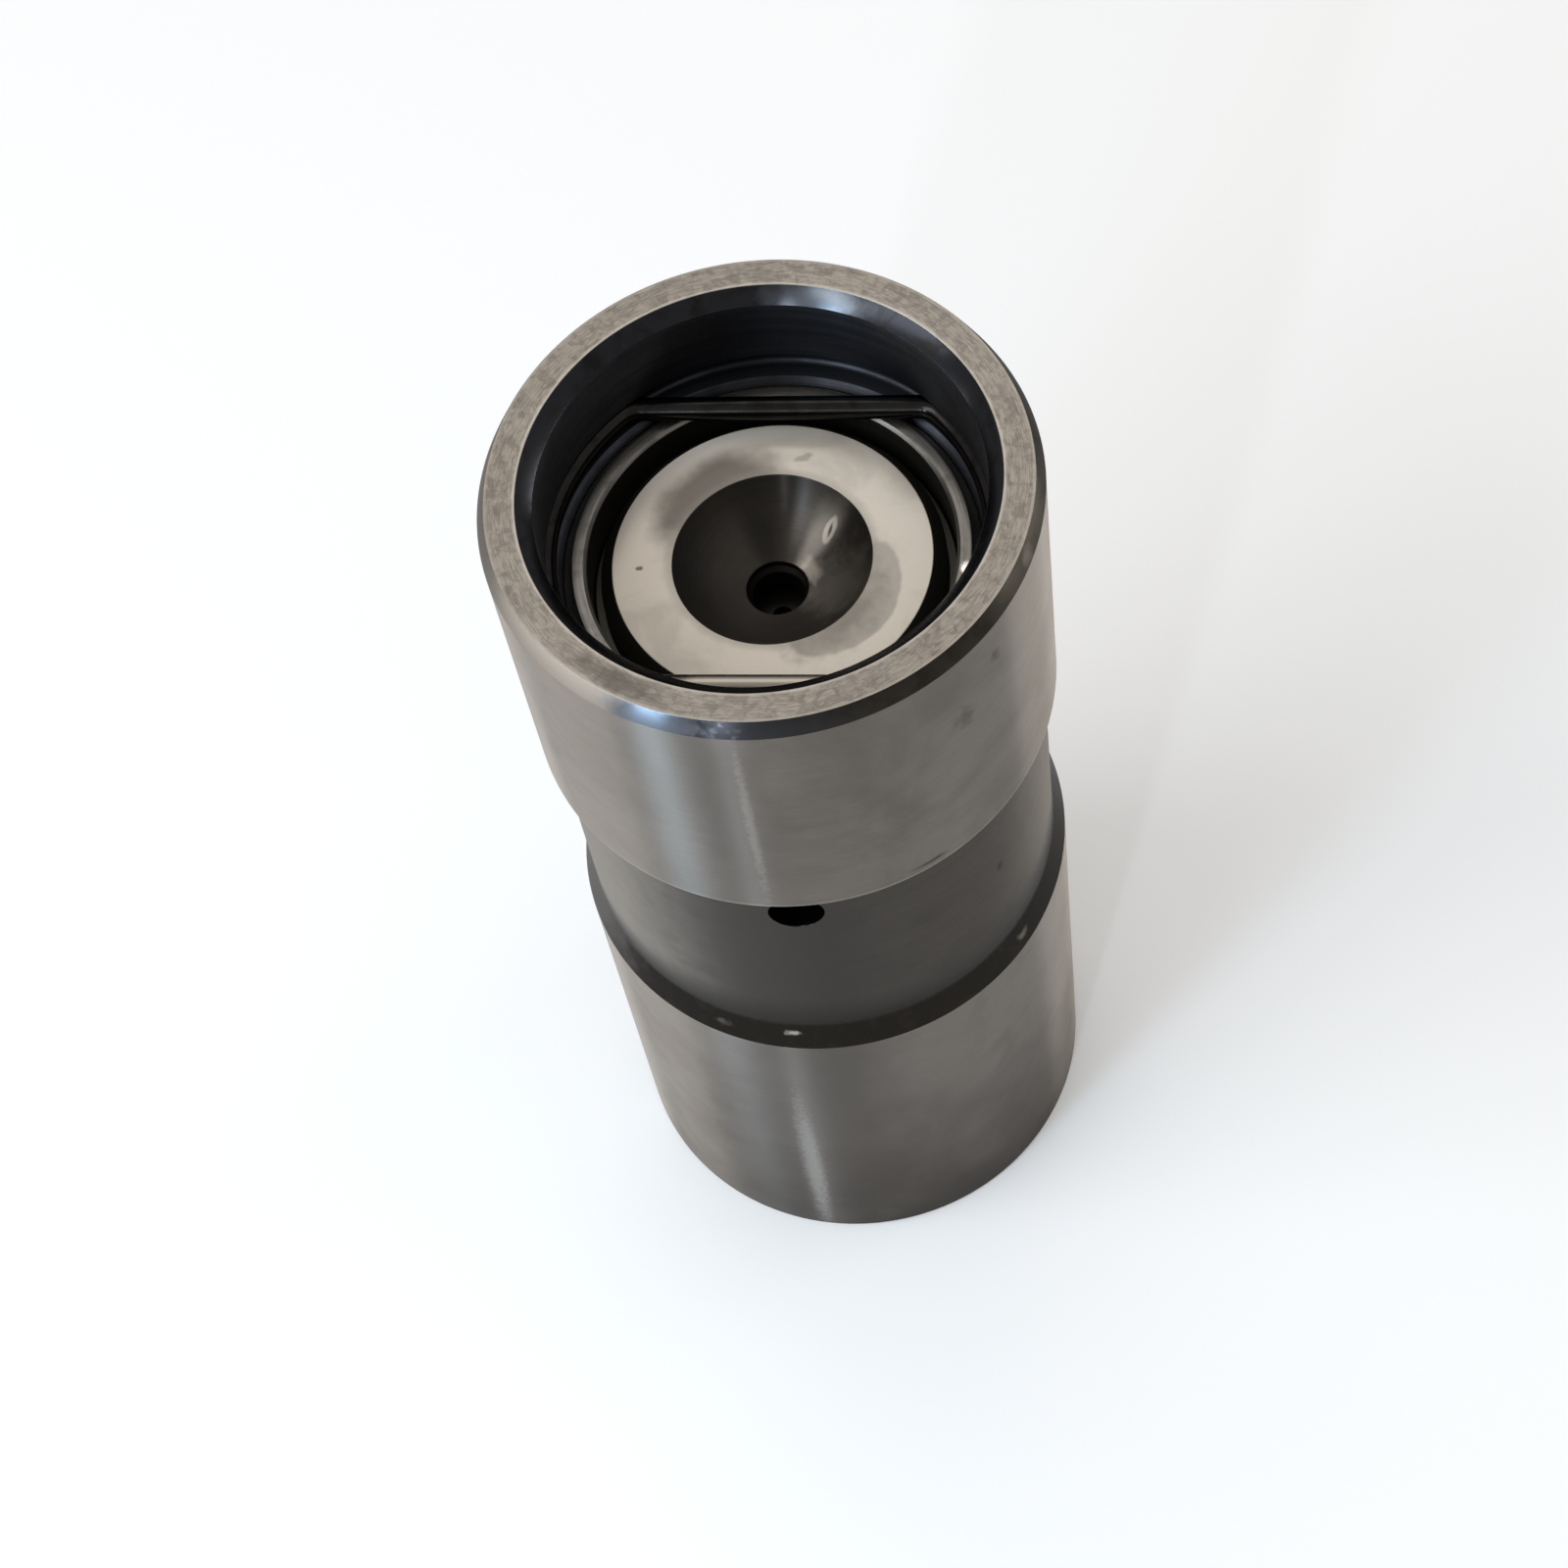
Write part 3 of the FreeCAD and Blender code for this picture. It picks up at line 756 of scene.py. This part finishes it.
plungerLow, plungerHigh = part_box("plunger")
plungerSize = {
    "radius": 8.72,
    "foot": 17.89,
    "top": plungerHigh.z / mm,
    "topChamfer": (0.42, 0.5),
    "innerChamfer": 0.14,
    "footChamfer": 0.4,
    "seatPocket": 7.7,
    "seatLedge": 41.14,
    "reservoir": 6.2,
    "reservoirFloor": 21.29,
    "reservoirRounding": 0.9,
    "valveRadius": 1.5,
    "coneRadius": 2.2,
    "spigotRadius": 2.6,
    "spigotFoot": plungerLow.z / mm,
    "groove": (33.43, 40.47),
    "grooveDepth": 0.52,
    "inletHole": 1.8,
    "holeFlare": 0.04,
    "edgeRound": 0.05,
    "steps": 256,
}

plungerLooks = {
    "plungerSide": {
        "colour": (0.25, 0.24, 0.225), "roughness": 0.3, "anisotropic": 0.8,
        "layers": [
            layer("lines", fineness=12, wander=0.2, depth=0.001, strength=0.8, colour=(0.2, 0.19, 0.18)),
        ],
    },
    "plungerRim": {
        "colour": (0.26, 0.243, 0.219), "roughness": 0.34, "anisotropic": 0.6,
        "layers": [
            layer("lines", fineness=7, wander=0.3, depth=0.0015, strength=0.8, colour=(0.13, 0.125, 0.118)),
            layer("stains", scale=0.8, low=0.45, high=0.7, strength=0.5, colour=(0.1, 0.095, 0.085),
                  roughness=0.45),
            # painted glint on the plunger's rim
            layer("mark", centre=(8.1, -1.3, 46.2), size=(0.4, 0.45, 0.8), ragged=0.4, scale=3,
                  colour=(0.85, 0.82, 0.78), roughness=0.25),
        ],
    },
    "plungerInside": {
        "colour": (0.06, 0.056, 0.05), "roughness": 0.45, "anisotropic": 0.5,
        "layers": [
            layer("lines", fineness=5, wander=0.2, depth=0.0015, strength=0.8, colour=(0.04, 0.037, 0.033)),
        ],
    },
}


def makePlunger():
    size = plungerSize
    radius = size["radius"]
    top = size["top"]
    topWidth, topHeight = size["topChamfer"]
    edge = size["edgeRound"]
    grooveFoot, grooveTop = size["groove"]
    depth = size["grooveDepth"]
    coneTop = size["spigotFoot"] + size["coneRadius"] - size["valveRadius"]
    corners = [
        (size["seatPocket"] + size["innerChamfer"], top, edge / 2),
        (size["seatPocket"], top - size["innerChamfer"], edge / 2),
        (size["seatPocket"], size["seatLedge"], edge),
        (size["reservoir"], size["seatLedge"], edge),
        (size["reservoir"], size["reservoirFloor"], size["reservoirRounding"]),
        (size["valveRadius"], size["reservoirFloor"], edge),
        (size["valveRadius"], coneTop, edge),
        (size["coneRadius"], size["spigotFoot"], edge),
        (size["spigotRadius"], size["spigotFoot"], edge),
        (size["spigotRadius"], size["foot"], edge),
        (radius - size["footChamfer"], size["foot"], edge),
        (radius, size["foot"] + size["footChamfer"], edge),
        (radius, grooveFoot, edge),
        (radius - depth, grooveFoot + depth / 2, edge),
        (radius - depth, grooveTop - depth / 2, edge),
        (radius, grooveTop, edge),
        (radius, top - topHeight, edge),
        (radius - topWidth, top, edge),
    ]
    bm = bmesh.new()
    turnOutline(bm, corners, size["steps"], closed=True)

    def zoneOf(across, up):
        if up > top - topHeight and across > size["seatPocket"] + edge / 4:
            return "plungerRim"
        if across < size["seatPocket"] + edge and up > size["foot"] + edge:
            return "plungerInside"
        return "plungerSide"

    materials = paintZones(bm, zoneOf, plungerLooks)
    piece = finishPiece(bm, "plunger_cup", "plunger_group", "plunger", materials)
    carveHole(piece, size["inletHole"], size["holeFlare"], (grooveFoot + grooveTop) / 2, 2 * radius,
              size["reservoir"] / 2, radius - depth, list(plungerLooks).index("plungerInside"))
    flattenShading(piece)
    print("plunger:", len(piece.data.polygons), "faces")


makePlunger()

# Pushrod seat

seatLow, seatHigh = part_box("pushrod_seat")
seatSize = {
    "radius": seatHigh.x / mm,
    "foot": seatLow.z / mm,
    "top": seatHigh.z / mm,
    "neckRadius": 7.25,
    "ringChamfer": (0.57, 0.7),
    "neckHeight": 1.7,
    "ballRadius": 4.7925,
    "socketDepth": 2.467,
    "holeMouth": 1.31,
    "holeMouthDepth": 0.3,
    "hole": 1.1,
    "recess": (5.4, 0.8),
    "edgeRound": 0.05,
    "socketSteps": 28,
    "steps": 256,
}

seatLooks = {
    "seatRing": {
        "colour": (0.62, 0.556, 0.475), "roughness": 0.24, "metallic": 0.25, "anisotropic": 0.3,
        "layers": [
            layer("stains", scale=0.3, low=0.45, high=0.75, strength=0.35, colour=(0.3, 0.266, 0.222),
                  roughness=0.26),
            # painted light: the ring's outer part lightened at the back, where the clip's wire shades it
            layer("arc", radius=6.5, height=46, width=1, middle=115, reach=62, ragged=0.2, scale=0.7,
                  strength=0.85, colour=(0.82, 0.76, 0.68)),
            # painted shade: darker crescents on the ring, at the front right and the back left
            layer("arc", radius=4.2, height=46, width=1.65, middle=-36, reach=45, ragged=0.12, scale=0.6,
                  core=0.9, strength=0.5, colour=(0.19, 0.168, 0.14), roughness=0.28),
            layer("arc", radius=4.5, height=46, width=1.5, middle=-46, reach=44, ragged=0.6, scale=1.1,
                  core=0.1, strength=0.8, colour=(0.17, 0.15, 0.125), roughness=0.28),
            layer("arc", radius=4.6, height=46, width=1.6, middle=128, reach=62, ragged=0.3, scale=0.7,
                  core=0.35, strength=0.92, colour=(0.11, 0.093, 0.074), roughness=0.28),
            layer("edge", radius=4.2, height=46, width=0.5, ragged=0.6, strength=0.45,
                  colour=(0.26, 0.232, 0.198)),
            layer("mark", centre=(-5.55, -0.2, 46), size=(0.2, 0.14, 0.4), ragged=0.6, scale=4, strength=0.8,
                  colour=(0.13, 0.11, 0.09), roughness=0.5),
            layer("mark", centre=(1.28, 4.96, 46), size=(0.5, 0.22, 0.4), turn=20, ragged=0.7, scale=3,
                  strength=0.5, colour=(0.25, 0.22, 0.18), roughness=0.4),
        ],
    },
    "seatSide": {
        "colour": (0.09, 0.085, 0.07), "roughness": 0.4, "anisotropic": 0.5,
        "layers": [
            layer("lines", fineness=6, wander=0.2, depth=0.0015, strength=0.8, colour=(0.06, 0.056, 0.046)),
        ],
    },
    "socket": {
        "colour": (0.066, 0.059, 0.052), "roughness": 0.34, "anisotropic": 0.95,
        "layers": [
            layer("lines", fineness=8, wander=0.2, depth=0.001, strength=0.6, colour=(0.055, 0.049, 0.043)),
            layer("stains", scale=0.5, low=0.45, high=0.75, strength=0.5, colour=(0.045, 0.04, 0.035),
                  roughness=0.4),
            layer("edge", radius=1.4, height=43.75, width=1.5, ragged=0.2, strength=0.6,
                  colour=(0.036, 0.032, 0.028)),
            # painted reflection: a fan of light from the hole outwards to the right, pale at the hole's
            # edge, with painted shade beside it at the back
            layer("arc", radius=2.2, height=44.2, width=2.4, rise=5, middle=105, reach=26, ragged=0.2,
                  strength=0.75, colour=(0.022, 0.02, 0.018)),
            layer("arc", radius=2.6, height=44.2, width=2.6, rise=5, middle=-12, reach=52, ragged=0.5,
                  scale=1.4, strength=0.75, colour=(0.18, 0.16, 0.136), roughness=0.38),
            layer("arc", radius=2.4, height=44.2, width=2.3, rise=5, middle=46, reach=20, ragged=0.3,
                  core=0.3, strength=0.65, colour=(0.21, 0.186, 0.156), roughness=0.38),
            layer("arc", radius=1.55, height=43.8, width=0.7, rise=4, middle=28, reach=30, ragged=0.4,
                  scale=2, strength=0.85, colour=(0.42, 0.378, 0.325), roughness=0.34),
            layer("mark", centre=(2.29, 2.11, 44.7), size=(0.62, 0.3, 1), turn=55, ragged=0.25, scale=2,
                  core=0.7, strength=0.85, colour=(0.4, 0.362, 0.312), roughness=0.42),
            layer("mark", centre=(2.29, 2.11, 44.7), size=(0.4, 0.1, 1), turn=62, ragged=0.4, scale=3,
                  core=0.4, strength=0.9, colour=(0.05, 0.044, 0.038), roughness=0.4),
            layer("mark", centre=(1.55, 0.25, 43.75), size=(0.16, 0.5, 1), turn=10, ragged=0.4, scale=2.5,
                  core=0.3, strength=0.7, colour=(0.3, 0.27, 0.235), roughness=0.35),
        ],
    },
    "seatHole": {
        "colour": (0.03, 0.026, 0.022), "roughness": 0.5,
        "layers": [
            layer("stains", scale=1, low=0.45, high=0.75, strength=0.5, colour=(0.015, 0.013, 0.011),
                  roughness=0.6),
        ],
    },
}


def makeSeat():
    size = seatSize
    top = size["top"]
    edge = size["edgeRound"]
    ringWidth, ringHeight = size["ringChamfer"]
    ball = size["ballRadius"]
    centre = top - size["socketDepth"] + ball
    neckFoot = top - size["neckHeight"]
    recessRadius, recessDepth = size["recess"]
    holeMouth = size["holeMouth"]
    firstAngle = math.asin(holeMouth / ball)
    lastAngle = math.acos((centre - top) / ball)
    mouthHeight = centre - ball * math.cos(firstAngle)
    holeStep = holeMouth - size["hole"]
    corners = [
        (size["hole"], size["foot"] + recessDepth, edge),
        (size["hole"], mouthHeight - size["holeMouthDepth"] - holeStep, edge),
        (holeMouth, mouthHeight - size["holeMouthDepth"], edge),
        (holeMouth, mouthHeight, edge),
    ]
    for step in range(1, size["socketSteps"] + 1):
        angle = firstAngle + (lastAngle - firstAngle) * step / size["socketSteps"]
        rounding = edge if step == size["socketSteps"] else 0
        corners.append((ball * math.sin(angle), centre - ball * math.cos(angle), rounding))
    corners += [
        (size["neckRadius"] - ringWidth, top, edge),
        (size["neckRadius"], top - ringHeight, edge),
        (size["neckRadius"], neckFoot, edge),
        (size["radius"], neckFoot, edge),
        (size["radius"], size["foot"], edge),
        (recessRadius, size["foot"], edge),
        (recessRadius - recessDepth, size["foot"] + recessDepth, edge),
    ]
    bm = bmesh.new()
    turnOutline(bm, corners, size["steps"], closed=True)

    def zoneOf(across, up):
        if across < holeMouth and up > size["foot"] + recessDepth:
            return "seatHole"
        if up > top - edge / 3 and across > ball * math.sin(lastAngle):
            return "seatRing"
        if up > mouthHeight - edge and across < ball * math.sin(lastAngle) + edge:
            return "socket"
        return "seatSide"

    materials = paintZones(bm, zoneOf, seatLooks)
    piece = finishPiece(bm, "seat_insert", "plunger_group", "pushrod_seat", materials)
    flattenShading(piece)
    print("pushrod seat:", len(piece.data.polygons), "faces")


makeSeat()

# Wire parts

wireLook = {
    "colour": (0.03, 0.0285, 0.027), "roughness": 0.2, "edgeTint": 0.6,
    "layers": [
        layer("stains", scale=0.8, low=0.42, high=0.7, strength=0.8, colour=(0.011, 0.01, 0.009),
              roughness=0.3),
        # painted reflection: the clip's front straight lighter, as it mirrors the bright seat ring
        layer("mark", centre=(-0.4, -6.9, 47), size=(5.2, 1.2, 1.2), ragged=0.2, scale=1.5, core=0.6,
              strength=0.95, colour=(0.4, 0.36, 0.31), roughness=0.3),
    ],
}
springWire = steelFinish("springWire", wireLook)

clipLow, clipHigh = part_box("retaining_clip")
clipSize = {
    "wire": (clipHigh.z - clipLow.z) / mm,
    "height": (clipHigh.z + clipLow.z) / 2 / mm,
    "arcRadius": 9.35,
    "flatOffset": 6.83,
    "bend": 1.2,
    "turn": -3,  # degrees, as the clip sits in its groove
    "opening": 18,
    "openingCentre": -12,
    "endRound": 0.12,
    "endRoundSteps": 3,
    "wireSides": 32,
    "startSteps": 24,
    "farSteps": 36,
    "endSteps": 12,
    "bendSteps": 10,
}


def sweepStage(bm, ring, centre, angle, steps):
    # carries the open end of the wire round a centre, counter-clockwise for a positive angle
    turned = bmesh.ops.spin(bm, geom=ring, cent=(*centre, 0), axis=(0, 0, 1), angle=angle, steps=steps)
    return turned["geom_last"]


def pushStage(bm, ring, step):
    # carries the open end of the wire straight on
    drawn = bmesh.ops.extrude_edge_only(bm, edges=[e for e in ring if isinstance(e, bmesh.types.BMEdge)])
    moved = [v for v in drawn["geom"] if isinstance(v, bmesh.types.BMVert)]
    bmesh.ops.translate(bm, vec=step, verts=moved)
    return [e for e in drawn["geom"] if isinstance(e, (bmesh.types.BMVert, bmesh.types.BMEdge))]


def wireRing(bm, radius, spot, sides):
    # a wire's round section, standing across the XZ plane at a spot on the X axis
    made = bmesh.ops.create_circle(bm, segments=sides, radius=radius, cap_ends=False)
    verts = made["verts"]
    bmesh.ops.rotate(bm, cent=(0, 0, 0), matrix=Matrix.Rotation(math.pi / 2, 3, "X"), verts=verts)
    bmesh.ops.translate(bm, vec=spot, verts=verts)
    edges = {edge for vert in verts for edge in vert.link_edges}
    return verts + sorted(edges, key=lambda edge: edge.index)


def makeClip():
    size = clipSize
    bendY = size["flatOffset"] - size["bend"]
    bendX = math.sqrt((size["arcRadius"] - size["bend"]) ** 2 - bendY ** 2)
    bendAngle = math.atan2(bendY, bendX)
    opens = math.radians(size["openingCentre"] + size["opening"] / 2)
    shuts = math.radians(size["openingCentre"] - size["opening"] / 2)
    bm = bmesh.new()
    ring = wireRing(bm, size["wire"] / 2, (size["arcRadius"], 0, 0), size["wireSides"])
    bmesh.ops.rotate(bm, cent=(0, 0, 0), matrix=Matrix.Rotation(opens, 3, "Z"), verts=bm.verts)
    across = 2 * bendX
    bend = math.pi / 2 - bendAngle
    bendSteps = size["bendSteps"]
    ring = sweepStage(bm, ring, (0, 0), bendAngle - opens, size["startSteps"])
    ring = sweepStage(bm, ring, (bendX, bendY), bend, bendSteps)
    ring = pushStage(bm, ring, (-across, 0, 0))
    ring = sweepStage(bm, ring, (-bendX, bendY), bend, bendSteps)
    ring = sweepStage(bm, ring, (0, 0), 2 * bendAngle, size["farSteps"])
    ring = sweepStage(bm, ring, (-bendX, -bendY), bend, bendSteps)
    ring = pushStage(bm, ring, (across, 0, 0))
    ring = sweepStage(bm, ring, (bendX, -bendY), bend, bendSteps)
    ring = sweepStage(bm, ring, (0, 0), shuts + bendAngle, size["endSteps"])
    caps = bmesh.ops.holes_fill(bm, edges=[edge for edge in bm.edges if edge.is_boundary])
    rims = [edge for face in caps["faces"] for edge in face.edges]
    bmesh.ops.bevel(bm, geom=rims, offset=size["endRound"], offset_type="OFFSET",
                    segments=size["endRoundSteps"], profile=0.5, affect="EDGES", material=-1)
    bmesh.ops.rotate(bm, cent=(0, 0, 0), matrix=Matrix.Rotation(math.radians(size["turn"]), 3, "Z"),
                     verts=bm.verts)
    bmesh.ops.translate(bm, vec=(0, 0, size["height"]), verts=bm.verts)
    piece = finishPiece(bm, "clip_wire", "lifter", "retaining_clip", [springWire])
    print("retaining clip:", len(piece.data.polygons), "faces")


makeClip()

returnSpring = {
    "node": "plunger_spring", "body": "lifter", "joint": "plunger_slide", "travel": 4.0,
    "wire": 1.3, "footRadius": 6.3, "topRadius": 6.3, "pitch": 2.55,
    "low": 5.0, "high": 17.49, "stepsPerTurn": 48, "wireSides": 24,
}
ballSpring = {
    "node": "check_ball_spring", "body": "plunger_group", "joint": "check_ball_slide", "travel": 0.35,
    "wire": 0.25, "footRadius": 1.9, "topRadius": 1.3, "pitch": 0.56,
    "low": 12.188, "high": 13.86, "stepsPerTurn": 40, "wireSides": 16,
}
# ground ends, as shares of the wire: the tip's height and the slow rise of the end turn
springEnd = {"tip": 0.25, "rise": 0.12}


def makeSpring(name, size):
    wire = size["wire"]
    low = size["low"]
    high = size["high"]
    endCurve = (size["pitch"] / wire - springEnd["rise"]) / 2
    endHeight = wire * (springEnd["tip"] + springEnd["rise"] + endCurve)
    turns = 2 + (high - low - 2 * endHeight) / size["pitch"]  # with one closed turn at each end
    steps = round(turns * size["stepsPerTurn"])

    def climb(turn):
        # the wire's height above its own end, after some turns
        if turn < 1:
            return wire * (springEnd["tip"] + springEnd["rise"] * turn + endCurve * turn ** 2)
        return endHeight + (turn - 1) * size["pitch"]

    heights = []
    for step in range(steps + 1):
        turn = turns * step / steps
        heights.append(low + climb(turn) if turn <= turns / 2 else high - climb(turns - turn))
    inward = (size["topRadius"] - size["footRadius"]) / steps
    stepAngle = fullTurn * turns / steps
    bm = bmesh.new()
    ring = wireRing(bm, wire / 2, (size["footRadius"], 0, heights[0]), size["wireSides"])
    for step in range(steps):
        lift = (0, 0, heights[step + 1] - heights[step])
        turned = bmesh.ops.spin(bm, geom=ring, cent=(0, 0, 0), axis=(0, 0, 1), dvec=lift,
                                angle=stepAngle, steps=1)
        ring = turned["geom_last"]
        angle = stepAngle * (step + 1)
        moved = [part for part in ring if isinstance(part, bmesh.types.BMVert)]
        bmesh.ops.translate(bm, vec=(inward * math.cos(angle), inward * math.sin(angle), 0), verts=moved)
    bmesh.ops.remove_doubles(bm, verts=bm.verts, dist=meshSetup["mergeGap"])
    bmesh.ops.holes_fill(bm, edges=[edge for edge in bm.edges if edge.is_boundary])
    fineGap = meshSetup["fineGap"]
    for height, side in ((low, -1), (high, 1)):
        cut = bmesh.ops.bisect_plane(bm, geom=bm.verts[:] + bm.edges[:] + bm.faces[:], dist=fineGap,
                                     plane_co=(0, 0, height), plane_no=(0, 0, side), clear_outer=True)
        edges = [part for part in cut["geom_cut"] if isinstance(part, bmesh.types.BMEdge)]
        bmesh.ops.holes_fill(bm, edges=edges)
    piece = finishPiece(bm, name, size["body"], size["node"], [springWire], gap=fineGap)
    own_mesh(piece)
    print(name, len(piece.data.polygons), "faces")


makeSpring("return_spring", returnSpring)
makeSpring("ball_spring", ballSpring)

# Pieces that keep the frame's own shape

innerLooks = {
    "metering_disc": {
        "colour": (0.05, 0.046, 0.04), "roughness": 0.4,
        "layers": [
            layer("stains", scale=0.8, low=0.42, high=0.7, strength=0.7, colour=(0.02, 0.018, 0.015),
                  roughness=0.55),
        ],
    },
    "check_ball_cage": {
        "colour": (0.2, 0.19, 0.175), "roughness": 0.36,
        "layers": [
            layer("lines", fineness=3, wander=0.4, strength=0.5, colour=(0.15, 0.14, 0.13), roughness=0.42),
            layer("stains", scale=0.7, low=0.45, high=0.7, strength=0.6, colour=(0.1, 0.088, 0.072),
                  roughness=0.5),
        ],
    },
    "check_ball": {
        "colour": (0.5, 0.49, 0.48), "roughness": 0.08,
        "layers": [
            layer("stains", scale=0.6, low=0.5, high=0.8, strength=0.4, colour=(0.4, 0.38, 0.35),
                  roughness=0.2),
        ],
    },
}
for node, look in innerLooks.items():
    finish = steelFinish(node + "_steel", look)
    for materialSlot in frame["nodes"][node].material_slots:
        materialSlot.material = finish
print("inner pieces finished")
